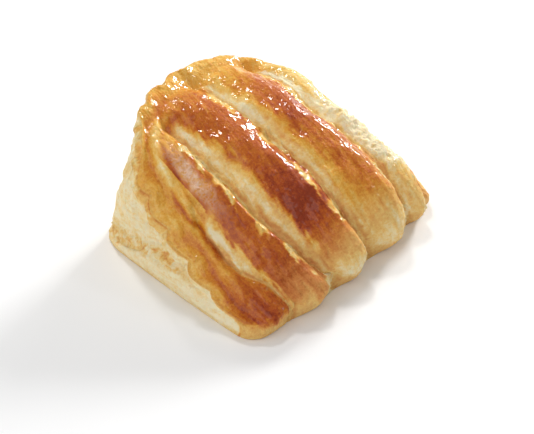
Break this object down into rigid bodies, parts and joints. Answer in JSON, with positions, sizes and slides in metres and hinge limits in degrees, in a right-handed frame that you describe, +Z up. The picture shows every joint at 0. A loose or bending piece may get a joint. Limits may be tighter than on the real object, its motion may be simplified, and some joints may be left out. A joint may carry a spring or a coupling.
{
  "type": "turnover pastry",
  "caption": "Baked puff pastry turnover with slit, ridged and egg-washed crust, lobed fold, crimped browned rim and pale layered sides.",
  "frame": {"origin": "centre of the bounding box's bottom, on the surface the pastry rests on", "axes": "+X along the fold, +Y from the fold at the front to the tall sealed edge at the back, +Z up"},
  "size_m": [0.0808, 0.0736, 0.0378],
  "materials": {
    "crust": "baked puff pastry: glossy brown egg wash on the ridges and rim, paler and rougher in the slits and on the layered sides"
  },
  "bodies": {
    "root": {"turnover": "crust"}
  },
  "joints": []
}
